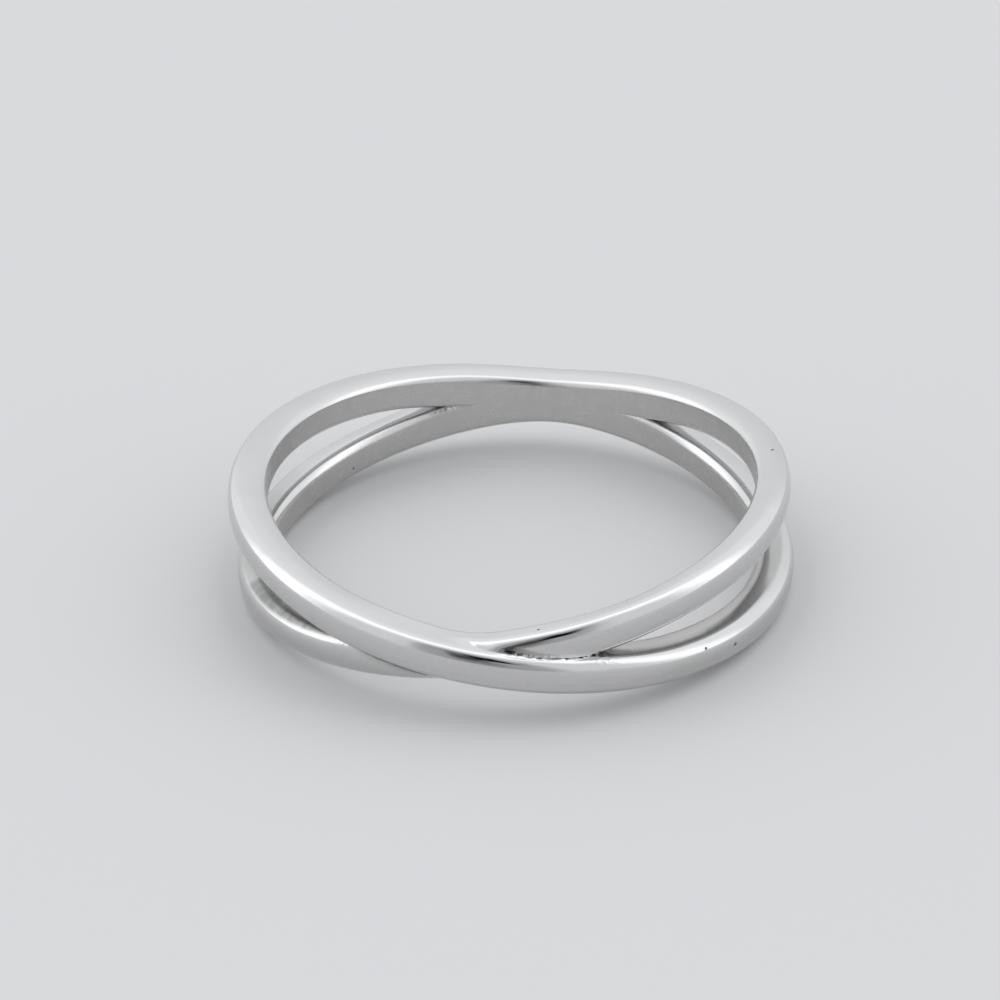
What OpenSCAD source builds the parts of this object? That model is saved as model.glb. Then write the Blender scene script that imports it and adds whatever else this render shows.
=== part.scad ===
// Crossover ring: two slim strands of solid silver run round the finger as one closed band.
// They cross once at the front, part to the sides and grow together again at the back.
// Millimetres. The finger goes through along Z, the crossing faces -Y and the shank +Y.
// The ring lies on its side, with its lowest edges at height zero.

/* [Ring size] */
// Inside diameter across the bore, where the finger goes
inner_diameter = 17.3; // [15:0.1:21]
// Thickness of the metal from the bore to the top of the outer wall
band_thickness = 1.3; // [1.1:0.01:1.6]
// Height of the whole band along the finger, where the strands lie furthest apart
band_height = 4.37; // [3.8:0.01:5]

/* [Strands] */
// Width of one strand along the finger
strand_width = 1.39; // [1.2:0.01:1.5]
// Radius of the two long edges of a strand at the bore
inner_edge = 0.43; // [0.2:0.01:0.5]
// Radius of the two long edges of a strand at the outer wall
outer_edge = 0.44; // [0.2:0.01:0.5]
// Radius of the gentle dome across the outer wall, between those edges
dome_radius = 1.6; // [1.2:0.1:6]

/* [Crossing] */
// How far the over strand stands proud of the plain outer wall at the crossing
over_rise = 0.13; // [0.05:0.01:0.2]
// How far the under strand lies back from the plain outer wall at the crossing
under_drop = 0.28; // [0.15:0.01:0.35]
// How soon that drop fades out round the ring, more being sooner
drop_fade = 1.5; // [1:0.1:3]

/* [Shank] */
// How far the middle of each strand lies from the ring's mid plane at the centre of the shank
shank_spread = 0.28; // [0.15:0.01:0.4]

/* [Fineness] */
// Steps from the crossing to where the strands part
front_steps = 12; // [8:1:13]
// Steps along the open slit between the strands
slit_steps = 48; // [36:1:52]
// Steps from where the strands join again to the centre of the shank
back_steps = 10; // [7:1:12]
// Steps round each long edge of a strand
edge_steps = 4; // [3:1:4]
// Steps across the domed outer wall
dome_steps = 2; // [2:1:3]

/* [Hidden] */
silver_tone = [0.86, 0.87, 0.88];
half_turn = 180;
quarter_turn = 90;
halvings = 40;
finest = 0.000001;
least_edge = 0.02;
bore_radius = inner_diameter / 2;
half_width = strand_width / 2;
swing = sqrt(pow(band_height / 2 - half_width, 2) - pow(shank_spread / 2, 2));
dome_facing = asin((half_width - outer_edge) / (dome_radius - outer_edge));
dome_height = dome_radius * sin(dome_facing);
inner_edge_height = half_width - inner_edge;
outer_edge_height = half_width - outer_edge;

// 1 at the crossing, fading to 0 at the centre of the shank
function nearness(turn) = (1 + cos(turn)) / 2;

// Distance of a strand's middle from the ring's mid plane: a tilted circle that levels out at the shank
function strand_height(turn) = norm([swing * sin(turn), shank_spread * (1 - nearness(turn))]);

// Thickness of the under strand and of the over strand, with turn 0 at the crossing
function under_thickness(turn) = band_thickness - under_drop * pow(nearness(turn), drop_fade);
function over_thickness(turn) = band_thickness + over_rise * nearness(turn);

// Halves the stretch between two turns until it holds the one where the strands' sides touch
function touching_turn(closed, open, tries = halvings) =
    let (turn = (closed + open) / 2)
    tries == 0 ? turn
    : strand_height(turn) < half_width ? touching_turn(turn, open, tries - 1)
    : touching_turn(closed, turn, tries - 1);

slit_front = touching_turn(0, quarter_turn);
slit_back = touching_turn(half_turn, quarter_turn);

// Depth from the bore at which the centre of an outer edge's rounding lies
function outer_centre(thickness) =
    thickness - dome_radius + (dome_radius - outer_edge) * cos(dome_facing);

// Depth of a strand's two walls at a height above its middle
function bore_depth(height) =
    let (above = abs(height) - inner_edge_height)
    above < 0 ? 0 : inner_edge - sqrt(max(0, pow(inner_edge, 2) - pow(above, 2)));
function wall_depth(height, thickness) =
    abs(height) < dome_height
    ? thickness - dome_radius + sqrt(pow(dome_radius, 2) - pow(height, 2))
    : outer_centre(thickness) + sqrt(max(0, pow(outer_edge, 2) - pow(abs(height) - outer_edge_height, 2)));

// Points on an arc of a section, as [depth from the bore, height above the strand's middle]
function arc_points(depth, height, radius, from, to, first, steps) =
    [for (i = [first : steps])
        let (facing = from + (to - from) * i / steps)
        [depth + radius * cos(facing), height + radius * sin(facing)]];

// A strand's rounded edges and flat wall at the bore, from its near side to its far side
bore_outline = concat(
    arc_points(inner_edge, -inner_edge_height, inner_edge, -quarter_turn, -half_turn, 1, edge_steps),
    arc_points(inner_edge, inner_edge_height, inner_edge, half_turn, quarter_turn, 0, edge_steps)
);

// Its rounded edges and domed wall outside, from its far side back to its near side
function wall_outline(thickness) =
    let (depth = outer_centre(thickness))
    concat(
        arc_points(depth, outer_edge_height, outer_edge, quarter_turn, dome_facing, 0, edge_steps),
        [for (i = [1 : dome_steps - 1])
            let (facing = dome_facing * (1 - 2 * i / dome_steps))
            [thickness - dome_radius * (1 - cos(facing)), dome_radius * sin(facing)]],
        arc_points(depth, -outer_edge_height, outer_edge, -dome_facing, -quarter_turn, 0, edge_steps)
    );

// Height at which the outer wall of the high strand runs into that of the low one
function wall_lead(height, middle, high, low) =
    wall_depth(height - middle, high) - wall_depth(height + middle, low);
function meeting_height(middle, high, low, bottom, top, tries = halvings) =
    let (height = (bottom + top) / 2)
    tries == 0 ? round(height / finest) * finest
    : wall_lead(height, middle, high, low) < 0 ? meeting_height(middle, high, low, height, top, tries - 1)
    : meeting_height(middle, high, low, bottom, height, tries - 1);

// The point where the two outer walls meet, or the near corner of a strand that stands free
function wall_join(middle, high, low) =
    let (top = half_width - middle,
        height = wall_lead(top, middle, high, low) <= 0 ? top
            : meeting_height(middle, high, low, -top, top))
    [wall_depth(height - middle, high), height];
function free_corner(middle, thickness) = [outer_centre(thickness), middle - half_width];

// A strand's section with its middle raised, cut off where it runs into the other strand
function bore_side(middle) =
    let (height = max(0, middle - half_width),
        join = [bore_depth(height - middle), height])
    concat([join], [for (point = bore_outline)
        point[1] + middle > height + least_edge ? [point[0], point[1] + middle] : join]);
function high_side(middle, high, join) =
    concat([for (point = wall_outline(high))
        point[1] + middle > join[1] + least_edge ? [point[0], point[1] + middle] : join], [join]);
function low_side(middle, high, low, join) =
    let (difference = outer_centre(low) - outer_centre(high),
        seat = outer_centre(low) - (difference > least_edge ? difference : 0))
    concat([[seat, middle + half_width]], [for (point = wall_outline(low))
        point[1] + middle > join[1] + least_edge || point[0] > join[0] + least_edge
        ? [point[0], point[1] + middle] : join], [join]);

// Both strands' sections at one turn: the high one from bore to wall, then the low one from wall to bore
function both_sections(turn, parted) =
    let (middle = strand_height(turn),
        high = under_thickness(turn),
        low = over_thickness(turn),
        meeting = wall_join(middle, high, low),
        high_join = parted ? free_corner(middle, high) : meeting,
        low_join = parted ? free_corner(middle, low) : [meeting[0], -meeting[1]],
        low_points = concat(bore_side(middle), low_side(middle, high, low, low_join)))
    concat(bore_side(middle), high_side(middle, high, high_join),
        [for (i = [len(low_points) - 1 : -1 : 0]) [low_points[i][0], -low_points[i][1]]]);

// The turns of all sections on the right of the ring, from the crossing to the shank's centre
turns = concat(
    [for (i = [0 : front_steps]) slit_front * i / front_steps],
    [for (i = [1 : slit_steps]) slit_front + (slit_back - slit_front) * i / slit_steps],
    [for (i = [1 : back_steps]) slit_back + (half_turn - slit_back) * i / back_steps]
);
last_closed = front_steps;
first_closed = front_steps + slit_steps;
step_count = len(turns) - 1;
high_count = len(concat(bore_side(0), wall_outline(band_thickness))) + 1;
low_count = high_count + 1;
point_count = high_count + low_count;

// The right half of the ring; the left half is the same half turned over about the Y axis
right_points = [for (i = [0 : step_count])
    let (turn = turns[i])
    for (point = both_sections(turn, i > last_closed && i < first_closed))
        let (radius = bore_radius + point[0])
        [radius * sin(turn), -radius * cos(turn), point[1]]];
all_points = concat(right_points, [for (point = right_points) [-point[0], point[1], -point[2]]]);

// Three different corners make a triangle, the rest is left out
function triangle(a, b, c) =
    all_points[a] == all_points[b] || all_points[b] == all_points[c] || all_points[a] == all_points[c]
    ? [] : [[a, b, c]];
function quad(a, b, c, d) = concat(triangle(a, b, c), triangle(a, c, d));

// Walls between neighbouring sections, with the strands' near sides only where a slit parts them
function skin(start) =
    [for (i = [0 : step_count - 1], k = [0 : point_count - 1])
        let (open = i >= last_closed && i < first_closed,
            near = k == high_count - 1 || k == point_count - 1,
            next = k == high_count - 1 ? 0 : k == point_count - 1 ? high_count : k + 1,
            here = start + i * point_count,
            there = here + point_count)
        if (open || !near)
            each quad(here + k, there + k, there + next, here + next)];

// Both strands cast in one piece
module crossover_band() {
    color(silver_tone)
    translate([0, 0, band_height / 2])
    polyhedron(points = all_points, faces = concat(skin(0), skin(len(right_points))));
}

crossover_band();
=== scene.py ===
# %% [markdown]
# # A crossover ring in polished silver
# The ring lies on its side on a pale floor. It is one piece of silver whose two strands cross at the
# front and grow together at the back. This lesson loads the packed ring as a fixed frame, builds a much
# finer band over it with Geometry Nodes, gives it a hand-polished finish, and lights it softly.

# %% Load the packed ring
import bpy
import math
from functools import partialmethod
from mathutils import Matrix, Vector


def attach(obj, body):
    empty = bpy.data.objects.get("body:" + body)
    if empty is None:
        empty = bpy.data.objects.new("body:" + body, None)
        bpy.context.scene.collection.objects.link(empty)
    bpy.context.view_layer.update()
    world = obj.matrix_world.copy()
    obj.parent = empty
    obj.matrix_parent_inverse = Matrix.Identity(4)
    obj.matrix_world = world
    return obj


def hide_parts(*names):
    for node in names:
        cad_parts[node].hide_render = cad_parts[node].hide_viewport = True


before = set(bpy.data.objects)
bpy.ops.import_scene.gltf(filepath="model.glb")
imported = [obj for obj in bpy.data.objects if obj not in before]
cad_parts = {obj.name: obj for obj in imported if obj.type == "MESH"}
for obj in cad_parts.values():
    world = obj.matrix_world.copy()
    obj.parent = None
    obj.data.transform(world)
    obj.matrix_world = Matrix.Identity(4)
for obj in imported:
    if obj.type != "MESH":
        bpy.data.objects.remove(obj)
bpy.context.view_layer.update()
MM = 0.001

# %% [markdown]
# ## Writing sizes as formulas
# A ring is all rule: every point of it follows from a few sizes. In a node tree a rule is a chain of
# Math nodes, and a long chain is hard to read. This small helper lays the Math nodes down while the rule
# is written as an ordinary formula, so the cells below read like the drawing of the ring.


# %% A formula that lays down Math nodes
class Quantity:
    """A number in a node tree, which may differ from point to point."""

    def __init__(self, tree, socket):
        self.tree = tree
        self.socket = socket

    def to(self, socket):
        self.tree.links.new(self.socket, socket)

    def made(self, operation, *others):
        node = self.tree.nodes.new("ShaderNodeMath")
        node.operation = operation
        for place, value in enumerate((self, *others)):
            if isinstance(value, Quantity):
                value.to(node.inputs[place])
            else:
                node.inputs[place].default_value = value
        return Quantity(self.tree, node.outputs[0])

    __add__ = partialmethod(made, "ADD")
    __sub__ = partialmethod(made, "SUBTRACT")
    __mul__ = partialmethod(made, "MULTIPLY")
    __truediv__ = partialmethod(made, "DIVIDE")
    __neg__ = partialmethod(made, "MULTIPLY", -1)
    __gt__ = partialmethod(made, "GREATER_THAN")
    __lt__ = partialmethod(made, "LESS_THAN")
    power = partialmethod(made, "POWER")
    sine = partialmethod(made, "SINE")
    cosine = partialmethod(made, "COSINE")
    absolute = partialmethod(made, "ABSOLUTE")
    sign = partialmethod(made, "SIGN")
    least = partialmethod(made, "MINIMUM")
    most = partialmethod(made, "MAXIMUM")

    def root(self):
        return self.most(0).made("SQRT")

    def choose(self, when_true, when_false):
        """when_true where this is 1, when_false where it is 0."""
        return self * (when_true - when_false) + when_false


print("a Quantity knows", [name for name in vars(Quantity) if not name.startswith("_")])


# %% Numbers, steps and vectors
def number(tree, value):
    """A plain number as a Quantity."""
    node = tree.nodes.new("ShaderNodeValue")
    node.outputs[0].default_value = value
    return Quantity(tree, node.outputs[0])


def share(step, first, count, eased=False):
    """0 up to step first, 1 from step first + count on, and rising between them."""
    node = step.tree.nodes.new("ShaderNodeMapRange")
    node.interpolation_type = "SMOOTHSTEP" if eased else "LINEAR"
    step.to(node.inputs["Value"])
    node.inputs["From Min"].default_value = first
    node.inputs["From Max"].default_value = first + count
    return Quantity(step.tree, node.outputs[0])


def as_vector(tree, parts):
    """Three Quantities as one vector."""
    node = tree.nodes.new("ShaderNodeCombineXYZ")
    for socket, part in zip(node.inputs, parts):
        part.to(socket)
    return node.outputs[0]


def add_socket(tree, name, in_out, kind):
    """A named input or output of a tree."""
    return tree.interface.new_socket(name=name, in_out=in_out, socket_type="NodeSocket" + kind)


def chain(*nodes):
    """Links each node's first output to the first input of the next."""
    for before, after in zip(nodes, nodes[1:]):
        before.id_data.links.new(before.outputs[0], after.inputs[0])


def put_in_scene(name, data):
    thing = bpy.data.objects.new(name, data)
    bpy.context.scene.collection.objects.link(thing)
    return thing


print("helpers:", [step.__name__ for step in (number, share, as_vector, add_socket, chain, put_in_scene)])

# %% [markdown]
# ## The sizes of the ring
# All sizes are in millimetres, as a jeweller would write them. They become the named inputs of the
# node tree, so anyone can resize the ring later without reading the rules behind it. How finely the skin
# is divided is kept apart, because it changes how smooth the ring is and not its shape.

# %% Sizes of the band
SIZES = {
    "Bore diameter": 17.3,
    "Band thickness": 1.3,
    "Band height": 4.37,
    "Strand width": 1.39,
    "Inner edge radius": 0.22,
    "Outer edge radius": 0.44,
    "Dome radius": 1.6,
    "Side crown": 0.15,
    "Crown depth": 0.78,
    "Slit crown depth": 0.47,
    "Slit outward fall": 0.12,
    "Over rise": 0.13,
    "Under drop": 0.28,
    "Drop fade": 1.5,
    "Shank spread": 0.28,
    "Seam unevenness": 0.08,
    "Valley reach": 1.0,
}
print("sizes of the band:", len(SIZES))

# %% How finely the band is divided
# Stations along a strand: to where the strands part, along the slit, and on to the back.
FRONT_STEPS, SLIT_STEPS, BACK_STEPS = 80, 184, 36
# Faces round a section: a rounded edge, the wall at the finger, the dome, a side, and its outer ledge.
EDGE_STEPS, BORE_STEPS, DOME_STEPS, SIDE_STEPS, LEDGE_STEPS = 8, 4, 8, 7, 3
# Points this near a join are pulled onto it, and points this near each other are sewn together, in mm.
NEAREST, WELD = 0.004, 0.0005
# How often the search for the line between the walls is halved.
HALVINGS = 20
print("stations along a strand:", FRONT_STEPS + SLIT_STEPS + BACK_STEPS)

# %% [markdown]
# ## One strand, from the crossing to the back
# The ring is the same when it is turned over about the line from front to back, so only its right half is
# needed. There the strand that runs on top at the crossing lies low, and the one that dives under lies
# high. Each is a rounded bar: two flat sides, a flat wall at the finger, a gently domed wall outside,
# and four rounded edges. It could be a profile swept along a curve, but where the two bars grow together
# each must stop exactly at the other. So a flat grid is bent to shape instead: its rows are stations round
# the ring, its columns go round the bar, and a rule places each point. Where the bars run together, the
# points that would lie inside the other bar are gathered on the line where both skins meet.


# %% Where a strand runs
def inputs_of(tree, group_input):
    return {name: Quantity(tree, group_input.outputs[name]) for name in SIZES}


def route(size, turn):
    """Height of a strand's middle, and the two strands' thicknesses, at a turn from the crossing."""
    tree = turn.tree
    half_width = size["Strand width"] / 2
    far_out = size["Band height"] / 2 - half_width
    spread = size["Shank spread"]
    swing = (far_out * far_out - spread * spread / 4).root()
    nearness = (turn.cosine() + 1) / 2
    sideways = swing * turn.sine()
    closing = spread * (number(tree, 1) - nearness)
    middle = (sideways * sideways + closing * closing).root()
    under = size["Band thickness"] - size["Under drop"] * nearness.power(size["Drop fade"])
    over = size["Band thickness"] + size["Over rise"] * nearness
    return nearness, middle, under, over


def slit_ends(size):
    """The turns at which the strands part and meet again: there a middle is half a width up."""
    half_width = size["Strand width"] / 2
    far_out = size["Band height"] / 2 - half_width
    half_spread = size["Shank spread"] / 2
    swing_squared = far_out * far_out - half_spread * half_spread
    spread_squared = half_spread * half_spread
    first = spread_squared - swing_squared
    last = swing_squared + spread_squared - half_width * half_width
    inner = (spread_squared * spread_squared - first * last).root()
    front = ((spread_squared - inner) / first).made("ARCCOSINE")
    back = ((spread_squared + inner) / first).made("ARCCOSINE")
    return front.least(back), front.most(back)


print("a strand's middle swings up and down by", (SIZES["Band height"] - SIZES["Strand width"]) / 2, "mm")


# %% The shape of a strand's section
def dome_facing(size):
    """The direction in which the domed wall ends and the edge's rounding begins."""
    outer_edge = size["Outer edge radius"]
    reach = size["Strand width"] / 2 - outer_edge
    return (reach / (size["Dome radius"] - outer_edge)).made("ARCSINE")


def edge_centre(size, thickness):
    """Depth from the bore at which the centre of an outer edge's rounding lies."""
    outer_edge = size["Outer edge radius"]
    return thickness - size["Dome radius"] + (size["Dome radius"] - outer_edge) * dome_facing(size).cosine()


def bore_depth(size, height):
    """Depth of the wall at the finger, at a height from the strand's middle."""
    radius = size["Inner edge radius"]
    above = (height.absolute() - (size["Strand width"] / 2 - radius)).most(0)
    return radius - (radius * radius - above * above).root()


def wall_depth(size, height, thickness):
    """Depth of the outer wall, at a height from the strand's middle."""
    dome, edge = size["Dome radius"], size["Outer edge radius"]
    above = height.absolute()
    on_edge = above - (size["Strand width"] / 2 - edge)
    domed = thickness - dome + (dome * dome - height * height).root()
    rounded = edge_centre(size, thickness) + (edge * edge - on_edge * on_edge).root()
    return (above < dome * dome_facing(size).sine()).choose(domed, rounded)


print("flat of the wall at the finger:", round(SIZES["Strand width"] - 2 * SIZES["Inner edge radius"], 3), "mm")


# %% Where the two outer walls meet
def meeting(size, middle, under, over):
    """Height and depth of the line where the walls meet, halved in on in a repeat zone."""
    tree = middle.tree
    top = size["Strand width"] / 2 - middle
    start = tree.nodes.new("GeometryNodeRepeatInput")
    end = tree.nodes.new("GeometryNodeRepeatOutput")
    start.pair_with_output(end)
    end.repeat_items.clear()
    for name in ("Bottom", "Top"):
        end.repeat_items.new("FLOAT", name)
    start.inputs["Iterations"].default_value = HALVINGS
    (-top).to(start.inputs["Bottom"])
    top.to(start.inputs["Top"])
    low, high = Quantity(tree, start.outputs["Bottom"]), Quantity(tree, start.outputs["Top"])
    halfway = (low + high) / 2
    lead = wall_depth(size, halfway - middle, under) - wall_depth(size, halfway + middle, over)
    behind = lead < 0
    behind.choose(halfway, low).to(end.inputs["Bottom"])
    behind.choose(high, halfway).to(end.inputs["Top"])
    height = (Quantity(tree, end.outputs["Bottom"]) + Quantity(tree, end.outputs["Top"])) / 2
    return height, wall_depth(size, height - middle, under)


print("the meeting line is found to", SIZES["Strand width"] / 2**HALVINGS, "mm")

# %% The column numbers round a section
BORE_END = 2 * EDGE_STEPS + BORE_STEPS
WALL_START = BORE_END + SIDE_STEPS + LEDGE_STEPS
WALL_END = WALL_START + 2 * EDGE_STEPS + DOME_STEPS
LAST_COLUMN = WALL_END + SIDE_STEPS + LEDGE_STEPS
LAST_ROW = FRONT_STEPS + SLIT_STEPS + BACK_STEPS
QUARTER = math.pi / 2
print("a section has", LAST_COLUMN, "faces and a strand", LAST_ROW, "stations")


# %% The points of a free section
def section(size, column, seat, thickness):
    """Depth and height of a free section's point, and how far round the section it lies."""
    tree = column.tree
    inner, outer = size["Inner edge radius"], size["Outer edge radius"]
    half_width = size["Strand width"] / 2
    facing = dome_facing(size)
    centre = edge_centre(size, thickness)
    depth, height, travel = inner, -half_width, number(tree, 0)

    def bend(first, count, radius, start, sweep):
        nonlocal depth, height, travel
        part = share(column, first, count)
        angle = start + sweep * part
        depth = depth + radius * (angle.cosine() - start.cosine())
        height = height + radius * (angle.sine() - start.sine())
        travel = travel + radius * sweep.absolute() * part

    def run(first, count, deeper, higher):
        nonlocal depth, height, travel
        part = share(column, first, count, eased=True)
        if deeper is not None:
            depth = depth + deeper * part
            travel = travel + deeper.absolute() * part
        if higher is not None:
            height = height + higher * part
            travel = travel + higher * part

    quarter_back = number(tree, -QUARTER)
    run_across = (half_width - inner) * 2
    bend(0, EDGE_STEPS, inner, number(tree, -QUARTER), quarter_back)
    run(EDGE_STEPS, BORE_STEPS, None, run_across)
    bend(EDGE_STEPS + BORE_STEPS, EDGE_STEPS, inner, number(tree, 2 * QUARTER), quarter_back)
    run(BORE_END, SIDE_STEPS, seat - inner, None)
    run(BORE_END + SIDE_STEPS, LEDGE_STEPS, centre - seat, None)
    bend(WALL_START, EDGE_STEPS, outer, number(tree, QUARTER), facing - QUARTER)
    bend(WALL_START + EDGE_STEPS, DOME_STEPS, size["Dome radius"], facing, facing * -2)
    bend(WALL_START + EDGE_STEPS + DOME_STEPS, EDGE_STEPS, outer, -facing, facing - QUARTER)
    run(WALL_END, LEDGE_STEPS, seat - centre, None)
    run(WALL_END + LEDGE_STEPS, SIDE_STEPS, inner - seat, None)
    return depth, height, travel


print("a section starts at its inner edge in the slit")

# %% [markdown]
# ## What the wheel and the solderer leave
# Hand work softens a plain bar: its sides are crowned, the valley between both tops is smoothed, and
# solder creeps over the line where the walls meet. All are a tenth or two of a millimetre and could be
# painted on as bumps, but their outlines show, so they are made for real.

# %% Crowned sides
# The share of the way from the crossing, and the stations from a slit's ends, in which the crown grows.
CROWN_GROWTH, PARTING_STEPS = 0.1, 24
# The depth, in mm, at which the slit's side starts to fall outward, and how long it takes.
OUTWARD_FALL = (0.35, 0.95)


def crowned(size, nearness, row, depth, height):
    """Both sides fall towards the finger, and the slit's side outward too, except where strands touch."""
    one = number(depth.tree, 1)
    away = share(one - nearness, 0, CROWN_GROWTH, eased=True)
    to_back = number(depth.tree, FRONT_STEPS + SLIT_STEPS) - row
    parted = share(row, FRONT_STEPS, PARTING_STEPS, eased=True) * share(to_back, 0, PARTING_STEPS, eased=True)
    reach = (one - depth / size["Crown depth"]).most(0)
    slit_reach = (one - depth / size["Slit crown depth"]).most(0)
    outward = size["Slit outward fall"] * share(depth, *OUTWARD_FALL, eased=True)
    fall = size["Side crown"] * reach * reach * away
    slit_fall = (size["Side crown"] * slit_reach * slit_reach + outward) * parted
    return height * (one - (height > 0).choose(fall, slit_fall) / (size["Strand width"] / 2))


print("a strand's sides fall by up to", SIZES["Side crown"], "mm")

# %% Solder on the seam
JAGS_PER_MM = 7
# The noise's level at which the solder starts to creep, and how much more makes it creep all the way.
CREEP = (0.4, 0.25)
# The station at which it starts, over how many it grows, and how many it takes to end before the slit.
CREEP_START, CREEP_STOP = (FRONT_STEPS * 0.4, FRONT_STEPS * 0.2), 4


def seam_jag(along, row):
    """How far the solder creeps over the line where the walls meet, between the crossing and the slit."""
    tree = along.tree
    noise = tree.nodes.new("ShaderNodeTexNoise")
    noise.noise_dimensions = "1D"
    noise.inputs["Scale"].default_value = JAGS_PER_MM
    noise.inputs["Detail"].default_value = 1
    along.to(noise.inputs["W"])
    creep = share(Quantity(tree, noise.outputs[0]), *CREEP)
    return creep * share(row, *CREEP_START) * share(number(tree, FRONT_STEPS) - row, 0, CREEP_STOP)


print("the solder creeps by up to", SIZES["Seam unevenness"], "mm")

# %% The valley between the tops
# The share of its reach at which the valley is open, and the depths, in mm, where its filling fades.
VALLEY_OPEN, FADES_INWARD, FILLS_LEDGE = 0.9, (0.5, 0.46), (0.35, 0.2)


def blend_at_crossing(size, turn, middle, depth, height):
    """Height of a point once the wheel has smoothed the valley between the tops of the crossing strands."""
    tree = turn.tree
    half_width = size["Strand width"] / 2
    along = turn * (size["Bore diameter"] / 2)
    slope = (size["Band height"] / 2 - half_width) / (size["Bore diameter"] / 2)
    short_of = (size["Valley reach"] - along).most(0)
    fill = slope * short_of * short_of / (size["Valley reach"] * 2)
    opening = share(along / size["Valley reach"], 0, VALLEY_OPEN, eased=True)
    above = height.absolute()
    below_top = (half_width + middle - above).most(0).least(middle * 2)
    inward = number(tree, 1) - share(depth, *FADES_INWARD, eased=True)
    on_ledge = share(depth, *FILLS_LEDGE, eased=True)
    raised = (fill + (number(tree, 1) - opening) * below_top * on_ledge) * inward
    return height + raised * (above / half_width).least(1) * height.sign(), opening


print("the valley is smoothed for", SIZES["Valley reach"], "mm on each side of the crossing")

# %% [markdown]
# ## Marks for the finish
# The finish follows the strands, so each point carries what the silver has to know: how far along its
# strand and round its section it lies, whether it is worn, unreached or brushed, how much painted shade
# darkens its outer dome, and where the seam is.
# The marks sit at the corners of the faces, because both sides of a seam need their own.


# %% Inputs and marks of a tree
def add_sizes(tree):
    for name, value in SIZES.items():
        socket = add_socket(tree, name, "INPUT", "Float")
        socket.default_value = value
        socket.min_value = 0


def at_points(socket, kind):
    """The value worked out at the points, for a node that would ask for it at faces or corners."""
    tree = socket.id_data
    node = tree.nodes.new("GeometryNodeFieldOnDomain")
    node.data_type = kind
    node.domain = "POINT"
    tree.links.new(socket, node.inputs[0])
    return node.outputs[0]


def keep_at_corners(name, parts):
    """Stores three Quantities at the faces' corners, where both sides of a seam can hold their own."""
    tree = parts[0].tree
    node = tree.nodes.new("GeometryNodeStoreNamedAttribute")
    node.data_type = "FLOAT_VECTOR"
    node.domain = "CORNER"
    node.inputs["Name"].default_value = name
    tree.links.new(at_points(as_vector(tree, parts), "FLOAT_VECTOR"), node.inputs["Value"])
    return node


print("marks at every corner: polish, finish, seam")

# %% What the marks say
# How soft the edges are: in columns for worn edges, dome and skin, in stations for slit and fillet.
WORN_FADE, DOME_FADE, SKIN_FADE, SLIT_FADE, FILLET_FADE = 3, 4, 1.5, 10, 10
# The skin starts this many columns before a wall's end, later on the over strand, and outside the slit.
SKIN_BEFORE, OVER_LATER, SLIT_BEFORE = 5.5, 4, 6
# How much of the bore's grey and blur the outer dome takes; the grey there is painted shade of the wall.
WALL_SHADE, SOLDER_REACH, SMALL = 0.62, 0.7, 0.01


def polish_marks(size, turn, column, travel):
    """How far along its strand and round its section a point lies, and whether its edge is worn."""
    tree = turn.tree
    along = turn * (size["Bore diameter"] / 2 + size["Band thickness"] / 2)
    edge_worn = number(tree, 0)
    for first in (WALL_START, WALL_START + EDGE_STEPS + DOME_STEPS):
        to_end = number(tree, first + EDGE_STEPS) - column
        edge_worn = edge_worn + share(column, first, WORN_FADE) * share(to_end, 0, WORN_FADE)
    return keep_at_corners("polish", (along, travel, edge_worn))


def near(angle, height):
    """1 at an end of the slit, 0 from SOLDER_REACH millimetres away."""
    aside = angle * (SIZES["Bore diameter"] / 2)
    distance = (aside * aside + height * height).root()
    return (number(angle.tree, 1) - distance / SOLDER_REACH).most(0)


def finish_marks(row, column, runs_over, at_wall_join, near_end):
    """Whether a point faces the slit, out of the wheel's reach and in its painted shade, how brushed the bore is and
    how much painted shade darkens the outer dome, and how near its end.
    """
    tree = row.tree
    to_back = number(tree, FRONT_STEPS + SLIT_STEPS + SLIT_BEFORE) - row
    in_slit = share(row, FRONT_STEPS - SLIT_BEFORE, SLIT_FADE) * share(to_back, 0, SLIT_FADE)
    on_side = share(column - runs_over * OVER_LATER, WALL_END - SKIN_BEFORE, SKIN_FADE)
    facing_slit = on_side.most(column < 0.5) * (number(tree, 1) - at_wall_join) * in_slit
    half_edge = EDGE_STEPS / 2
    to_bore_end = number(tree, BORE_END - half_edge) - column
    brushed_and_shaded = share(column, half_edge, half_edge) * share(to_bore_end, 0, half_edge)
    dome_start = WALL_START + EDGE_STEPS - DOME_FADE / 2
    to_dome_end = number(tree, dome_start + DOME_STEPS + DOME_FADE) - column
    domed = share(column, dome_start, DOME_FADE, eased=True) * share(to_dome_end, 0, DOME_FADE, eased=True)
    # The outer dome takes a share of the bore's mark, which darkens it with painted shade.
    brushed_and_shaded = brushed_and_shaded + domed * WALL_SHADE
    return keep_at_corners("finish", (facing_slit, brushed_and_shaded, near_end))


def seam_marks(size, row, middle, opening, side, even_depth, even_height):
    """Where the seam would lie without its solder, and how steep the corner there is, signed by strand."""
    steepness = opening * (middle / (size["Outer edge radius"] - middle).most(SMALL)).root().least(1)
    at_front = share(number(row.tree, FRONT_STEPS) - row, 0, FILLET_FADE)
    return keep_at_corners("seam", (even_depth, even_height, steepness * at_front * side))


print("the solder at a slit's end reaches", SOLDER_REACH, "mm")


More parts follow.
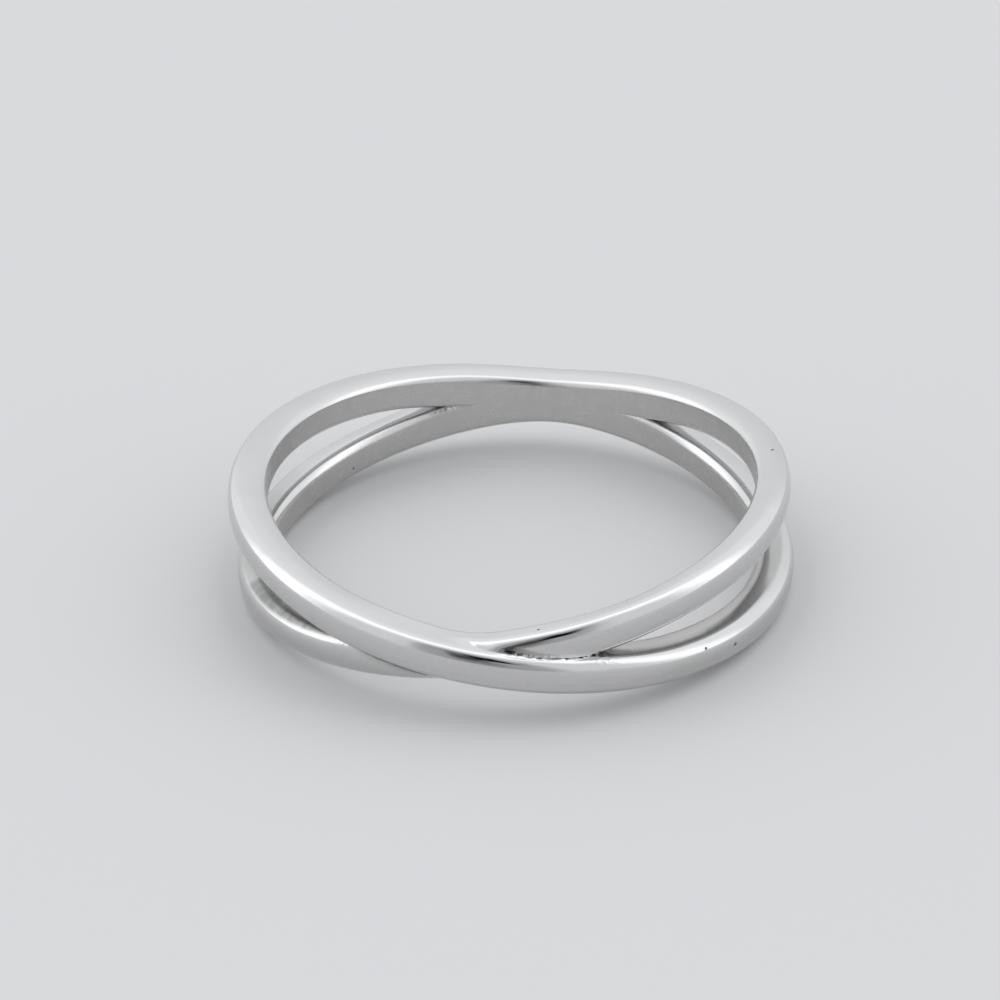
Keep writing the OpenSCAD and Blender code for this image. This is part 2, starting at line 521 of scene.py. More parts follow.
# %% A node group that makes one strand
def strand_group():
    tree = bpy.data.node_groups.new("strand from crossing to back", "GeometryNodeTree")
    add_sizes(tree)
    add_socket(tree, "Runs over", "INPUT", "Float")
    add_socket(tree, "Strand", "OUTPUT", "Geometry")
    group_input = tree.nodes.new("NodeGroupInput")
    group_output = tree.nodes.new("NodeGroupOutput")
    size = inputs_of(tree, group_input)
    runs_over = Quantity(tree, group_input.outputs["Runs over"])
    one = number(tree, 1)

    grid = tree.nodes.new("GeometryNodeMeshGrid")
    grid.inputs["Vertices X"].default_value = LAST_ROW + 1
    grid.inputs["Vertices Y"].default_value = LAST_COLUMN + 1
    index = Quantity(tree, tree.nodes.new("GeometryNodeInputIndex").outputs[0])
    row = ((index + 0.5) / (LAST_COLUMN + 1)).made("FLOOR")
    column = index - row * (LAST_COLUMN + 1)

    front, back = slit_ends(size)
    turn = (
        front * share(row, 0, FRONT_STEPS)
        + (back - front) * share(row, FRONT_STEPS, SLIT_STEPS)
        + (number(tree, math.pi) - back) * share(row, FRONT_STEPS + SLIT_STEPS, BACK_STEPS)
    )
    closed = (row < FRONT_STEPS + 0.5) + (row > FRONT_STEPS + SLIT_STEPS - 0.5)
    nearness, middle, under, over = route(size, turn)
    thickness = runs_over.choose(over, under)
    side = one - runs_over * 2
    seat = edge_centre(size, under)
    depth, height, travel = section(size, column, seat, thickness)
    height = crowned(size, nearness, row, depth, height) + middle

    join_height, join_depth = meeting(size, middle, under, over)
    top = size["Strand width"] / 2 - middle
    too_thin = wall_depth(size, top - middle, under) < edge_centre(size, over)
    even_height = too_thin.choose(top, join_height)
    even_depth = too_thin.choose(wall_depth(size, top - middle, under), join_depth)
    jag = size["Seam unevenness"] * seam_jag(turn * (size["Bore diameter"] / 2), row)
    join_height = (even_height - jag) * side
    join_depth = even_depth + jag / 2

    stands_clear = (height > join_height + NEAREST).most(runs_over * (depth > join_depth + NEAREST))
    on_wall = (column > WALL_START - 0.5) * (column < LAST_COLUMN - 0.5)
    at_wall_join = closed * on_wall * (one - stands_clear)
    on_bore = (column < BORE_END + 0.5).most(column > LAST_COLUMN - 0.5)
    at_bore_join = closed * on_bore * (height < NEAREST)
    depth = at_wall_join.choose(join_depth, depth)
    height = at_wall_join.choose(join_height, height)
    depth = at_bore_join.choose(bore_depth(size, middle), depth)
    height = at_bore_join.choose(number(tree, 0), height)
    height, opening = blend_at_crossing(size, turn, middle, depth, height)
    even_height, opening = blend_at_crossing(size, turn, middle, even_depth, even_height)
    radius = size["Bore diameter"] / 2 + depth
    place = as_vector(tree, (radius * turn.sine(), -(radius * turn.cosine()), height * side))

    near_end = near(turn - front, height).most(near(turn - back, height))
    marks = (
        polish_marks(size, turn, column, travel),
        finish_marks(row, column, runs_over, at_wall_join, near_end),
        seam_marks(size, row, middle, opening, side, even_depth, even_height),
    )
    placed = tree.nodes.new("GeometryNodeSetPosition")
    tree.links.new(place, placed.inputs["Position"])
    inner_wall = tree.nodes.new("GeometryNodeDeleteGeometry")
    inner_wall.domain = "FACE"
    inside = closed * (column > LAST_COLUMN - 1.5)
    tree.links.new(at_points(inside.socket, "BOOLEAN"), inner_wall.inputs["Selection"])
    flip = tree.nodes.new("GeometryNodeFlipFaces")
    (one - runs_over).to(flip.inputs["Selection"])
    chain(grid, *marks, placed, inner_wall, flip, group_output)
    return tree


one_strand = strand_group()
print("nodes in one strand:", len(one_strand.nodes))

# %% [markdown]
# ## The whole band
# The two strands are joined, and a second copy is turned over about the front-to-back line. Merge by
# Distance then sews everything up: the halves, each strand's own seam, and all the points that were
# gathered on the joins. Edges that stay sharp, such as the groove where the strands cross, are marked so
# that light doesn't smear over them. The tree ends in Realize Instances and Set Material.

# %% The tree that puts the band together
CREASE = math.radians(28)


def band_tree():
    tree = bpy.data.node_groups.new("crossover band", "GeometryNodeTree")
    tree.is_modifier = True
    add_socket(tree, "Geometry", "INPUT", "Geometry")
    add_sizes(tree)
    add_socket(tree, "Silver", "INPUT", "Material")
    add_socket(tree, "Band", "OUTPUT", "Geometry")
    group_input = tree.nodes.new("NodeGroupInput")
    group_output = tree.nodes.new("NodeGroupOutput")
    links = tree.links.new
    half = tree.nodes.new("GeometryNodeJoinGeometry")
    for runs_over in (1.0, 0.0):
        strand = tree.nodes.new("GeometryNodeGroup")
        strand.node_tree = one_strand
        strand.inputs["Runs over"].default_value = runs_over
        for name in SIZES:
            links(group_input.outputs[name], strand.inputs[name])
        chain(strand, half)

    turned = tree.nodes.new("GeometryNodeTransform")
    turned.inputs["Rotation"].default_value = (0, math.pi, 0)
    whole = tree.nodes.new("GeometryNodeJoinGeometry")
    chain(half, turned, whole)
    chain(half, whole)
    sewn = tree.nodes.new("GeometryNodeMergeByDistance")
    sewn.inputs["Distance"].default_value = WELD

    angle = tree.nodes.new("GeometryNodeInputMeshEdgeAngle")
    sharp = number(tree, 1) - (Quantity(tree, angle.outputs["Unsigned Angle"]) < CREASE)
    rounded = tree.nodes.new("GeometryNodeSetShadeSmooth")
    creased = tree.nodes.new("GeometryNodeSetShadeSmooth")
    creased.domain = "EDGE"
    sharp.to(creased.inputs["Selection"])
    creased.inputs["Shade Smooth"].default_value = False

    lift = tree.nodes.new("ShaderNodeCombineXYZ")
    (Quantity(tree, group_input.outputs["Band height"]) / 2).to(lift.inputs["Z"])
    raised = tree.nodes.new("GeometryNodeTransform")
    links(lift.outputs[0], raised.inputs["Translation"])
    shrunk = tree.nodes.new("GeometryNodeTransform")
    shrunk.inputs["Scale"].default_value = (MM, MM, MM)
    real = tree.nodes.new("GeometryNodeRealizeInstances")
    coated = tree.nodes.new("GeometryNodeSetMaterial")
    links(group_input.outputs["Silver"], coated.inputs["Material"])
    chain(whole, sewn, rounded, creased, raised, shrunk, real, coated, group_output)
    return tree


whole_band = band_tree()
print("nodes in the whole band's tree:", len(whole_band.nodes))

# %% [markdown]
# ## What lies on polished silver
# A polished ring is mostly a mirror of the room around it. What tells the eye that it is metal and not
# plastic is what lies on that mirror: fine lines that the polishing wheel left along the strands, a slight
# waviness, scratches, and a blur that changes from place to place. Each of these is a small shader group
# with named inputs, so it can be used again at another size or on another metal. Lines, scratches and skin
# are drawn along the strands, by the marks that the band's points carry.


# %% A start for every shader group
def surface_group(name, numbers, result):
    """A group that takes a place on the surface and some numbers, and gives one value."""
    tree = bpy.data.node_groups.new(name, "ShaderNodeTree")
    add_socket(tree, "Place", "INPUT", "Vector")
    for label, value in numbers.items():
        add_socket(tree, label, "INPUT", "Float").default_value = value
    add_socket(tree, result, "OUTPUT", "Float")
    into, out = tree.nodes.new("NodeGroupInput"), tree.nodes.new("NodeGroupOutput")
    return tree, into, out


def stretched_noise(tree, place, scales, detail):
    """Noise whose spots are stretched: scales holds one number or Quantity for each direction."""
    factors = tree.nodes.new("ShaderNodeCombineXYZ")
    for socket, scale in zip(factors.inputs, scales):
        if isinstance(scale, Quantity):
            scale.to(socket)
        else:
            socket.default_value = scale
    multiply = tree.nodes.new("ShaderNodeVectorMath")
    multiply.operation = "MULTIPLY"
    tree.links.new(place, multiply.inputs[0])
    tree.links.new(factors.outputs[0], multiply.inputs[1])
    noise = tree.nodes.new("ShaderNodeTexNoise")
    noise.inputs["Scale"].default_value = 1
    noise.inputs["Detail"].default_value = detail
    tree.links.new(multiply.outputs[0], noise.inputs["Vector"])
    return Quantity(tree, noise.outputs[0])


# How many spots every pattern has in a millimetre from left to right, which keeps the halves apart.
SIDEWAYS = 0.3
print("spots per mm sideways:", SIDEWAYS)

# %% Fine lines of the polishing wheel
COARSE_SHARE, FINE_SHARE, FINER_ALONG, FINER_ACROSS = 0.6, 0.4, 3, 2.7
lines_group, into, out = surface_group("wheel lines", {"Along": 0.25, "Across": 14.0}, "Height")
along_scale, across_scale = (Quantity(lines_group, into.outputs[name]) for name in ("Along", "Across"))
finer_scales = (along_scale * FINER_ALONG, across_scale * FINER_ACROSS, SIDEWAYS)
coarse = stretched_noise(lines_group, into.outputs["Place"], (along_scale, across_scale, SIDEWAYS), 2)
fine = stretched_noise(lines_group, into.outputs["Place"], finer_scales, 2)
(coarse * COARSE_SHARE + fine * FINE_SHARE).to(out.inputs[0])
print("made", lines_group.name)

# %% Scattered scratches
# A scratch is the line where a long-drawn noise crosses its middle, kept where a rounder one is high.
THREAD_LENGTH, PLACE_STRETCH, THINNESS, SOFT_END = 0.06, (0.15, 0.3, 0.7), 60, 0.06
scratch_group, into, out = surface_group("scratches", {"Turn": 0.4, "Spacing": 6.0, "Share": 0.44}, "Mask")
spin = scratch_group.nodes.new("ShaderNodeVectorRotate")
spin.rotation_type = "Z_AXIS"
scratch_group.links.new(into.outputs["Place"], spin.inputs["Vector"])
scratch_group.links.new(into.outputs["Turn"], spin.inputs["Angle"])
spacing = Quantity(scratch_group, into.outputs["Spacing"])
thread = stretched_noise(scratch_group, spin.outputs[0], (spacing * THREAD_LENGTH, spacing, SIDEWAYS), 0)
place_scales = (spacing * PLACE_STRETCH[0], spacing * PLACE_STRETCH[1], PLACE_STRETCH[2])
places = stretched_noise(scratch_group, spin.outputs[0], place_scales, 1)
hairline = number(scratch_group, 1) - ((thread - 0.5).absolute() * THINNESS).least(1)
threshold = number(scratch_group, 1) - Quantity(scratch_group, into.outputs["Share"])
(hairline * share(places - threshold, 0, SOFT_END)).to(out.inputs[0])
print("made", scratch_group.name)

# %% Soft patches
PATCH_EDGE = (0.3, 0.4)
patch_group, into, out = surface_group("soft patches", {"Spots": 0.5, "Detail": 2.0}, "Mask")
spots = Quantity(patch_group, into.outputs["Spots"])
cloud = stretched_noise(patch_group, into.outputs["Place"], (spots, spots, spots), 2)
patch_group.links.new(into.outputs["Detail"], cloud.socket.node.inputs["Detail"])
share(cloud, *PATCH_EDGE, eased=True).to(out.inputs[0])
print("made", patch_group.name)

# %% Skin of cast metal
PITTED_SHARE, STREAK_SHARE, STREAK_LENGTH = 0.5, 0.5, 0.9
skin_group, into, out = surface_group("cast skin", {"Grain": 9.0, "Streak": 0.25}, "Height")
grain, streak = (Quantity(skin_group, into.outputs[name]) for name in ("Grain", "Streak"))
pitted = stretched_noise(skin_group, into.outputs["Place"], (grain, grain, grain), 3)
streak_scales = (grain * STREAK_LENGTH, grain * streak, SIDEWAYS)
streaks = stretched_noise(skin_group, into.outputs["Place"], streak_scales, 1)
(pitted * PITTED_SHARE + streaks * STREAK_SHARE).to(out.inputs[0])
print("made", skin_group.name)

# %% A single small pit
PIT_EDGE = 0.7
pit_group, into, out = surface_group("pit", {"X": 0.0, "Y": 0.0, "Z": 0.0, "Radius": 0.05}, "Mask")
spot = pit_group.nodes.new("ShaderNodeCombineXYZ")
for socket, name in zip(spot.inputs, "XYZ"):
    pit_group.links.new(into.outputs[name], socket)
gap = pit_group.nodes.new("ShaderNodeVectorMath")
gap.operation = "DISTANCE"
pit_group.links.new(into.outputs["Place"], gap.inputs[0])
pit_group.links.new(spot.outputs[0], gap.inputs[1])
pit_radius = Quantity(pit_group, into.outputs["Radius"])
to_middle = number(pit_group, 1) - Quantity(pit_group, gap.outputs["Value"]) / pit_radius
share(to_middle, 0, PIT_EDGE, eased=True).to(out.inputs[0])
print("made", pit_group.name)

# %% [markdown]
# ## The silver itself
# One material covers the ring, because it is one casting. Masks tell its parts apart: the mirror-bright
# outside, the bore, which is only brushed and whose grey the outer dome shares as painted shade, the slits'
# walls, which no wheel can reach and which keep their grey cast skin, darkened as painted shade of the
# slit, for two thirds of the way back, and the solder at the seams. Two places have their own finish: the
# fillet of solder beside the crossing is burnished, and the slit's wall at the front left is rougher and
# darkened in streaks as painted shade of the over strand. The crevices at the slits' ends get blotches of
# near-black painted shade, and the pits are near-black. Colours mix first, then roughness, and last a
# row of bumps.

# %% Colours and blur of the finish
# The bore's satin grey also darkens the outer dome, where it is painted shade.
# The slit walls' cast-skin grey is darkened further as painted shade of the slit.
BRIGHT, SATIN_AND_SHADE, CAST_SKIN_AND_SHADE = (0.7, 0.7, 0.7), (0.56, 0.555, 0.542), (0.5, 0.498, 0.49)
# Near-black: painted shade in the crevices at the slits' ends, and the colour of the pits.
# The raw stretch's dark grey is painted shade of the over strand, laid in streaks.
RAW_SHADE, CREVICE_SHADE_AND_PITS = (0.3, 0.3, 0.295), (0.08, 0.08, 0.08)
# Roughness of each part; that of the raw stretch is added to the cast skin's.
BRIGHT_BLUR, BRUSHED_BLUR, CAST_BLUR, RAW_BLUR = 0.18, 0.3, 0.17, 0.15
BURNISHED, SOLDER_BLUR, LEAST_BLUR = 0.07, 0.25, 0.04
# How much it changes with patches, wheel lines, scratches and the skin's grain, and on the brushed bore.
PATCH_CHANGE, LINE_CHANGE, SCRATCH_BLUR, SKIN_CHANGE = 0.05, 0.06, 0.1, 0.2
BORE_PATCH_CHANGE, BORE_LINE_CHANGE = 0.04, 0.1
print("colours of the finish:", BRIGHT, SATIN_AND_SHADE, CAST_SKIN_AND_SHADE, RAW_SHADE, CREVICE_SHADE_AND_PITS)

# %% Where the finish changes
# In mm: how wide fillet and solder are, and how far along a strand, and how softly, the raw stretch and the cast skin
# end, with their painted shade.
FILLET_REACH, SOLDER_WIDTH = 0.3, 0.15
RAW_SHADE_END, RAW_SHADE_FADE, CAST_SHADE_END, CAST_SHADE_FADE = 10.65, 0.3, 19, 3
# The level at which a mask sets in, and how much more fills it.
FILLET_EDGE, SOLDER_EDGE, BLOB_EDGE, FILE_EDGE = (0, 0.3), (0.6, 0.4), (0.35, 0.2), (0.36, 0.2)
# How much patches thin the bore's mask and the cast skin's grey and painted shade, and how much the streaks thin the
# raw stretch's painted shade.
BORE_LOSS, CAST_SHADE_LOSS, FILE_LOSS = 0.12, 0.2, 0.5
# How much of the scratches the bore lacks, how dark the painted shade in the crevices at the slits' ends is, and how
# dark the pits are.
BORE_CALM, CREVICE_SHADE, PIT_DARKNESS = 0.7, 0.6, 0.85
# Spots in a millimetre of the patches, the small patches and the waves.
SPOTS, SMALL_SPOTS, WAVE_SPOTS = 0.45, 2.2, 0.6
print("the raw and the cast skin end, mm along a strand:", RAW_SHADE_END, CAST_SHADE_END)

# %% Pits and the heights of the bumps
# A row for each pit: x, y, z and radius, in millimetres.
PITS = (
    (8.61, -5.17, 0.91, 0.1),
    (7.75, -6.33, 1.40, 0.07),
    (2.36, -8.80, 3.26, 0.06),
    (-6.83, 5.31, 0.81, 0.06),
    (9.00, 2.52, 4.32, 0.08),
)
MICRON = 0.001 * MM
WAVES, LINES, SCRATCHES, SKIN = (depth * MICRON for depth in (9, 0.14, 0.3, 3))
SOLDER, FILLET, PIT_DEPTH = 45 * MICRON, 80 * MICRON, 40 * MICRON
print("pits:", len(PITS))


# %% Small steps of a material
def attribute(tree, name):
    """The three numbers of a mark that the band's points carry."""
    node = tree.nodes.new("ShaderNodeAttribute")
    node.attribute_name = name
    parts = tree.nodes.new("ShaderNodeSeparateXYZ")
    tree.links.new(node.outputs["Vector"], parts.inputs[0])
    return [Quantity(tree, part) for part in parts.outputs]


def use(group, place, **numbers):
    """The value of a shader group at a place, with its other inputs by name."""
    tree = place.id_data
    node = tree.nodes.new("ShaderNodeGroup")
    node.node_tree = group
    tree.links.new(place, node.inputs["Place"])
    for name, value in numbers.items():
        node.inputs[name].default_value = value
    return Quantity(tree, node.outputs[0])


def tint(mask, below, colour):
    """The colour below, turned to another one where the mask is 1."""
    node = mask.tree.nodes.new("ShaderNodeMix")
    node.data_type = "RGBA"
    mask.to(node.inputs["Factor"])
    if isinstance(below, tuple):
        node.inputs["A"].default_value = (*below, 1)
    else:
        mask.tree.links.new(below, node.inputs["A"])
    node.inputs["B"].default_value = (*colour, 1)
    return node.outputs["Result"]


def bump(height, depth, below):
    """A bump laid over the one below it."""
    node = height.tree.nodes.new("ShaderNodeBump")
    node.inputs["Distance"].default_value = depth
    height.to(node.inputs["Height"])
    if below is not None:
        height.tree.links.new(below, node.inputs["Normal"])
    return node.outputs["Normal"]


def thinned(mask, loss):
    """1 where the mask is 1, and less by the loss where it is 0."""
    return mask * loss + (1 - loss)


print("steps:", [step.__name__ for step in (attribute, use, tint, bump, thinned)])

# %% A material and the places on it
silver = bpy.data.materials.new("polished_silver")
silver.use_nodes = True
coat = silver.node_tree
shader = coat.nodes["Principled BSDF"]
shader.inputs["Metallic"].default_value = 1
one = number(coat, 1)
enlarge = coat.nodes.new("ShaderNodeVectorMath")
enlarge.operation = "SCALE"
enlarge.inputs["Scale"].default_value = 1 / MM
coat.links.new(coat.nodes.new("ShaderNodeTexCoord").outputs["Object"], enlarge.inputs[0])
place = enlarge.outputs[0]
apart = coat.nodes.new("ShaderNodeSeparateXYZ")
coat.links.new(place, apart.inputs[0])
to_east, to_north, to_top = (Quantity(coat, socket) for socket in apart.outputs)
along, round_section, edge_worn = attribute(coat, "polish")
# The second mark is the bore's brushing, and on the outer dome it is painted shade.
facing_slit, on_bore, near_end = attribute(coat, "finish")
seam_depth, seam_height, steepness = attribute(coat, "seam")
strand_place = as_vector(coat, (along, round_section, to_east))
print("made", silver.name)

# %% Near the seam
out_from_seam = (to_east * to_east + to_north * to_north).root() - SIZES["Bore diameter"] / 2 - seam_depth
up_from_seam = (to_top - SIZES["Band height"] / 2) * to_east.sign() - seam_height
from_seam = (up_from_seam * up_from_seam + out_from_seam * out_from_seam).root()
to_seam = (one - from_seam / FILLET_REACH).most(0)
in_fillet = share(to_seam * steepness.most(0), *FILLET_EDGE)
soldered = share(steepness.absolute(), *SOLDER_EDGE, eased=True)
solder = near_end.most((one - from_seam / SOLDER_WIDTH).most(0) * soldered)
print("fillet and solder, mm wide:", FILLET_REACH, SOLDER_WIDTH)

# %% Patterns and masks
patches = use(patch_group, place, Spots=SPOTS)
small_patches = use(patch_group, place, Spots=SMALL_SPOTS)
lines = use(lines_group, strand_place)
scratches = use(scratch_group, strand_place).most(use(scratch_group, strand_place, Turn=-0.7, Spacing=4))
scratches = scratches * (one - on_bore * BORE_CALM)
skin = use(skin_group, strand_place)
blobs = use(skin_group, place, Grain=6, Streak=1)
file_strokes = use(skin_group, strand_place, Grain=3, Streak=0.4)
pits = number(coat, 0)
for x, y, z, radius in PITS:
    pits = pits.most(use(pit_group, place, X=x, Y=y, Z=z, Radius=radius))
bore_and_dome_shade = on_bore * thinned(small_patches, BORE_LOSS)
# Slit walls keep the grey of cast skin, darkened further as painted shade of the slit.
cast_skin_and_shade = facing_slit * thinned(patches, CAST_SHADE_LOSS) * share(number(coat, CAST_SHADE_END) - along, 0, CAST_SHADE_FADE)
# The slit's wall at the front left is rougher, and darkened in streaks as painted shade of the over strand.
raw_and_shaded = facing_slit * (to_east < 0) * share(number(coat, RAW_SHADE_END) - along, 0, RAW_SHADE_FADE)
shade_streaks = thinned(share(file_strokes, *FILE_EDGE), FILE_LOSS)
# Blotches of near-black painted shade in the crevices where the slits end.
crevice_shade = near_end * share(blobs, *BLOB_EDGE) * facing_slit * CREVICE_SHADE
print("nodes so far:", len(coat.nodes))

# %% Colour
colour = tint(bore_and_dome_shade, BRIGHT, SATIN_AND_SHADE)
colour = tint(cast_skin_and_shade, colour, CAST_SKIN_AND_SHADE)
colour = tint(raw_and_shaded * shade_streaks, colour, RAW_SHADE)
colour = tint(crevice_shade.most(pits * PIT_DARKNESS), colour, CREVICE_SHADE_AND_PITS)
coat.links.new(colour, shader.inputs["Base Color"])
print("layers of colour:", 5)

# %% Roughness
polished = number(coat, BRIGHT_BLUR) + (patches - 0.5) * PATCH_CHANGE + (lines - 0.5) * LINE_CHANGE
polished = polished + scratches * SCRATCH_BLUR
polished = edge_worn.choose(polished - (BRIGHT_BLUR - BURNISHED), polished)
polished = polished - in_fillet * (BRIGHT_BLUR - BURNISHED)
bore_blur = number(coat, BRUSHED_BLUR) + (lines - 0.5) * BORE_LINE_CHANGE
bore_blur = bore_blur + (small_patches - 0.5) * BORE_PATCH_CHANGE
blur = bore_and_dome_shade.choose(bore_blur, polished)
blur = cast_skin_and_shade.choose(number(coat, CAST_BLUR) + (skin - 0.5) * SKIN_CHANGE, blur)
blur = blur + raw_and_shaded * RAW_BLUR
blur.most(near_end * SOLDER_BLUR).most(LEAST_BLUR).to(shader.inputs["Roughness"])
print("roughness outside and on the bore:", BRIGHT_BLUR, BRUSHED_BLUR)

# %% Bumps
normal = bump(use(patch_group, place, Spots=WAVE_SPOTS, Detail=1), WAVES, None)
normal = bump(to_seam * to_seam * steepness.most(0), FILLET, normal)
normal = bump(lines * (on_bore + 1), LINES, normal)
normal = bump(-scratches, SCRATCHES, normal)
normal = bump(skin * facing_slit, SKIN, normal)
normal = bump(blobs * solder, SOLDER, normal)
normal = bump(-pits, PIT_DEPTH, normal)
coat.links.new(normal, shader.inputs["Normal"])
print("nodes in the silver:", len(coat.nodes))

# %% [markdown]
# ## From a tree to a plain mesh
# The tree is put on an empty carrier as a modifier and its inputs are filled in from the sizes, each by
# its socket's own identifier. Evaluating the carrier once gives the finished band, which is copied to a
# plain mesh, so that nothing has to be worked out again later and the tree can be thrown away.

# %% Build the band and make it a plain mesh
carrier = put_in_scene("band_carrier", bpy.data.meshes.new("band_carrier"))
modifier = carrier.modifiers.new("crossover band", "NODES")
modifier.node_group = whole_band
for item in whole_band.interface.items_tree:
    if item.item_type == "SOCKET" and item.in_out == "INPUT" and item.name in SIZES:
        modifier[item.identifier] = SIZES[item.name]
    elif item.item_type == "SOCKET" and item.name == "Silver":
        modifier[item.identifier] = silver
graph = bpy.context.evaluated_depsgraph_get()
mesh = bpy.data.meshes.new_from_object(carrier.evaluated_get(graph), depsgraph=graph)
mesh.name = "silver_band"
while mesh.materials and mesh.materials[0] is None:
    mesh.materials.pop(index=0)
carrier.modifiers.clear()
bpy.data.objects.remove(carrier)
band = put_in_scene("silver_band", mesh)
print("band faces:", len(mesh.polygons), "materials:", list(mesh.materials))

# %% [markdown]
# ## Onto the frame
# The ring has no moving part, so the whole band rides on the root. It stands in for the plainer packed
# ring of the same shape, which stays in the file for its contacts and its weight.

# %% Hang the band on the frame
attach(band, "root")
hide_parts("crossover_band")
print(band.name, "rides on the root")

# %% [markdown]
# ## The floor
# The ring lies on a plain pale sheet. A polished wall is half a picture of what lies before it, so the
# sheet's tone counts as much as the lights do. It is one large flat face with no edge in view: a little
# under white, slightly cool, and matt, so that it takes only a soft shadow.

# %% Floor
FLOOR_SIZE, FLOOR_COLOUR, FLOOR_BLUR = 1.2, (0.69, 0.691, 0.698, 1), 0.8
half_floor = FLOOR_SIZE / 2
corners = [(x * half_floor, y * half_floor, 0) for x, y in ((-1, -1), (1, -1), (1, 1), (-1, 1))]
floor_mesh = bpy.data.meshes.new("floor")
floor_mesh.from_pydata(corners, [], [(0, 1, 2, 3)])
floor = put_in_scene("floor", floor_mesh)
floor_paint = bpy.data.materials.new("pale_floor")
floor_paint.use_nodes = True
sheet = floor_paint.node_tree.nodes["Principled BSDF"]
sheet.inputs["Base Color"].default_value = FLOOR_COLOUR
sheet.inputs["Roughness"].default_value = FLOOR_BLUR
floor_mesh.materials.append(floor_paint)
print("floor:", FLOOR_SIZE, "m square")

# %% [markdown]
# ## The light tent
# A mirror shows what stands round it, so the light is built as a small white tent that wraps the ring: a
# bright arch of cloth from side to side overhead, which draws the white line along every rounded edge,
# paler cloth behind and in front, and a dim opening at the front. In that opening stand a grey, a dark
# and a black card, which draw the few black lines that make silver look like silver. All this could be
# made of lamps and planes, but the world's own background can hold it, with no noise and no lamp in view.
# Directions are measured from the tent's front, which faces the camera.

# %% Directions in the tent
EYE_SIDE = math.radians(9.96)
world = bpy.data.worlds.new("light_tent")
world.use_nodes = True
tent = world.node_tree
direction = tent.nodes.new("ShaderNodeSeparateXYZ")
tent.links.new(tent.nodes.new("ShaderNodeTexCoord").outputs["Generated"], direction.inputs[0])
east, north, up = (Quantity(tent, socket) for socket in direction.outputs)
right = east * math.cos(EYE_SIDE) + north * math.sin(EYE_SIDE)
back = north * math.cos(EYE_SIDE) - east * math.sin(EYE_SIDE)
DEGREE = math.pi / 180
elevation = up.made("ARCSINE") / DEGREE
bearing = right.made("ARCTAN2", -back) / DEGREE


def rise(value, start, end):
    """0 below start, 1 above end, and a soft step between them."""
    return share(value, start, end - start, eased=True)


def window(value, low, high, feather):
    """1 from low to high, with soft edges."""
    return rise(value, low - feather, low + feather) * (number(tent, 1) - rise(value, high - feather, high + feather))


print("the tent's front is turned by", round(math.degrees(EYE_SIDE), 2), "degrees")

# %% Bright cloths
ARCH, BACK_CLOTH, FAR_CLOTH, FRONT_CLOTH = 1.6, 1.03, 0.8, 0.84
# Where the arch and the cloth behind it end: 0 is overhead, 1 the horizon behind, -1 the one in front.
ARCH_BEHIND, CLOTH_BEHIND, ARCH_IN_FRONT = (0.05, 0.48), (0.65, 1), (-0.25, 0.2)
# The arch leans back to the right, its front edge bows, and at the far right it is cut back.
LEAN, BOW, CUT_SIDE, CUT = 0.15, 0.2, (0.5, 0.75), 0.12
backward = back + right * LEAN
level = number(tent, ARCH) - rise(backward, *ARCH_BEHIND) * (ARCH - BACK_CLOTH)
level = level - rise(backward, *CLOTH_BEHIND) * (BACK_CLOTH - FAR_CLOTH)
forward_edge = back + right.absolute() * BOW + rise(right, *CUT_SIDE) * CUT
level = rise(forward_edge, *ARCH_IN_FRONT).choose(level, number(tent, FRONT_CLOTH))
print("brightness of arch, back, far and front cloth:", ARCH, BACK_CLOTH, FAR_CLOTH, FRONT_CLOTH)

# %% The opening and its cards
OPENING, GREY_CARD, DARK_CARD, BLACK_CARD = 0.44, 0.22, 0.08, 0.005
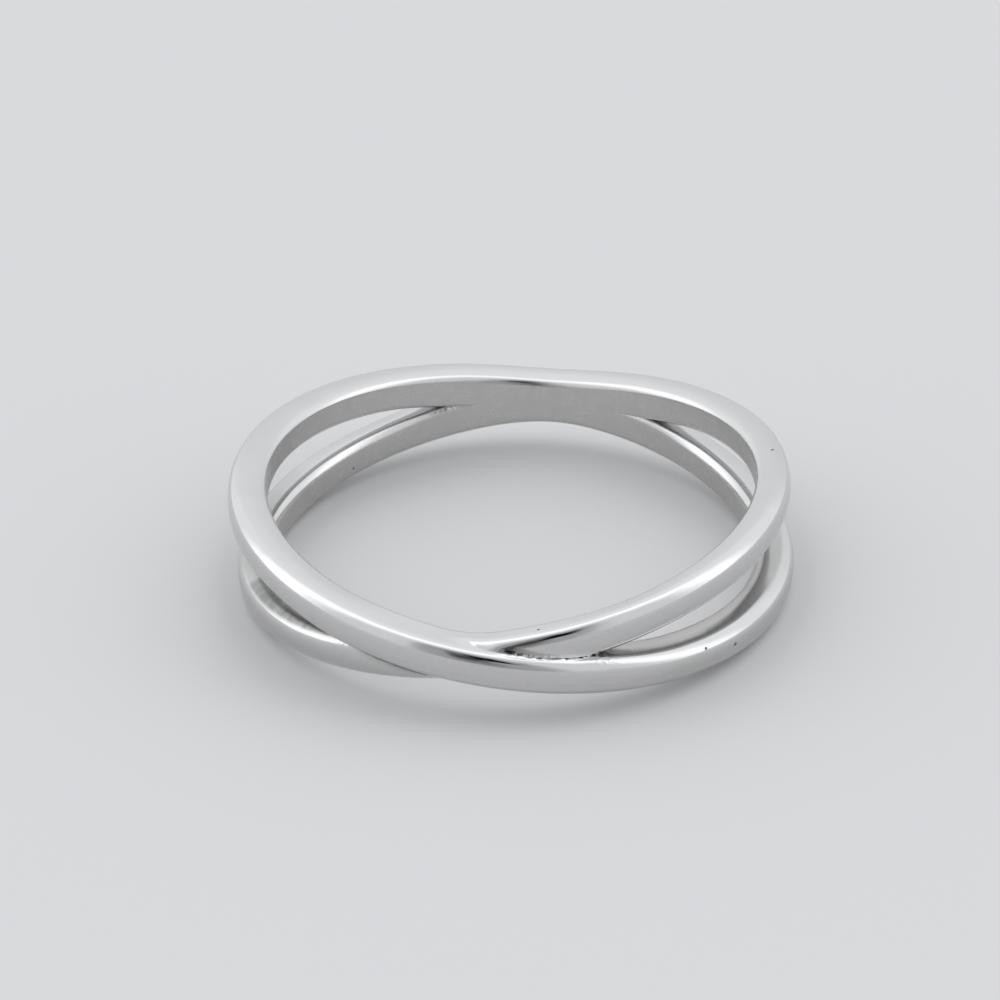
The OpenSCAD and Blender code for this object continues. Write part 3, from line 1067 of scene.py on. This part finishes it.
# In degrees: from, to, and how soft the edges are. The two TOPs are shares, as in the cell above.
OPENING_SIDES, GREY_SIDES, DARK_SIDES, BLACK_SIDES = (-32, 24, 8), (-16, 3, 4), (-15, -2, 4), (-5, 14, 3)
OPENING_TOP, GREY_TOP = (0.16, 0.4), (0.3, 0.45)
GREY_FOOT, DARK_HEIGHTS, BLACK_HEIGHTS = (-8, 22), (24, 50, 5), (39, 62, 2)
opening = window(bearing, *OPENING_SIDES) * rise(-back, *OPENING_TOP)
grey_card = window(bearing, *GREY_SIDES) * rise(-back, *GREY_TOP) * rise(elevation, *GREY_FOOT)
dark_card = window(bearing, *DARK_SIDES) * window(elevation, *DARK_HEIGHTS)
black_card = window(bearing, *BLACK_SIDES) * window(elevation, *BLACK_HEIGHTS)
for mask, brightness in (
    (opening, OPENING), (grey_card, GREY_CARD), (dark_card, DARK_CARD), (black_card, BLACK_CARD)
):
    level = mask.choose(number(tent, brightness), level)
print("brightness of opening and cards:", OPENING, GREY_CARD, DARK_CARD, BLACK_CARD)

# %% Light the scene with the tent
TENT_COLOUR = (0.98, 0.988, 1.006, 1)
background = tent.nodes["Background"]
level.to(background.inputs["Strength"])
background.inputs["Color"].default_value = TENT_COLOUR
bpy.context.scene.world = world
bpy.context.scene.view_settings.view_transform = "Standard"
print("nodes in the tent:", len(tent.nodes))

# %% [markdown]
# ## The camera
# The camera looks down on the crossing from about 30 degrees up and 10 degrees to its right, through a
# long lens, so the ring shows little perspective.

# %% Camera
EYE_DISTANCE = 160 * MM
EYE_HEIGHT = math.radians(30.52)
EYE_ROLL = math.radians(1.37)
LENS, SENSOR = 162, 36
NEAREST_SEEN = 0.01
RING_CENTRE_PIXEL = (512.1, 520.8)
PICTURE = 1000
centre = Vector((0, 0, SIZES["Band height"] / 2 * MM))
flat = math.cos(EYE_HEIGHT)
eye = Vector((math.sin(EYE_SIDE) * flat, -math.cos(EYE_SIDE) * flat, math.sin(EYE_HEIGHT)))
camera_data = bpy.data.cameras.new("camera")
camera_data.lens = LENS
camera_data.sensor_width = SENSOR
camera_data.clip_start = NEAREST_SEEN
camera_data.shift_x = -(RING_CENTRE_PIXEL[0] - PICTURE / 2) / PICTURE
camera_data.shift_y = (RING_CENTRE_PIXEL[1] - PICTURE / 2) / PICTURE
camera = put_in_scene("camera", camera_data)
turned = (-eye).to_track_quat("-Z", "Y").to_matrix().to_4x4() @ Matrix.Rotation(-EYE_ROLL, 4, "Z")
camera.matrix_world = Matrix.Translation(centre + eye * EYE_DISTANCE) @ turned
bpy.context.scene.camera = camera
print("camera:", LENS, "mm lens,", round(EYE_DISTANCE / MM), "mm away")
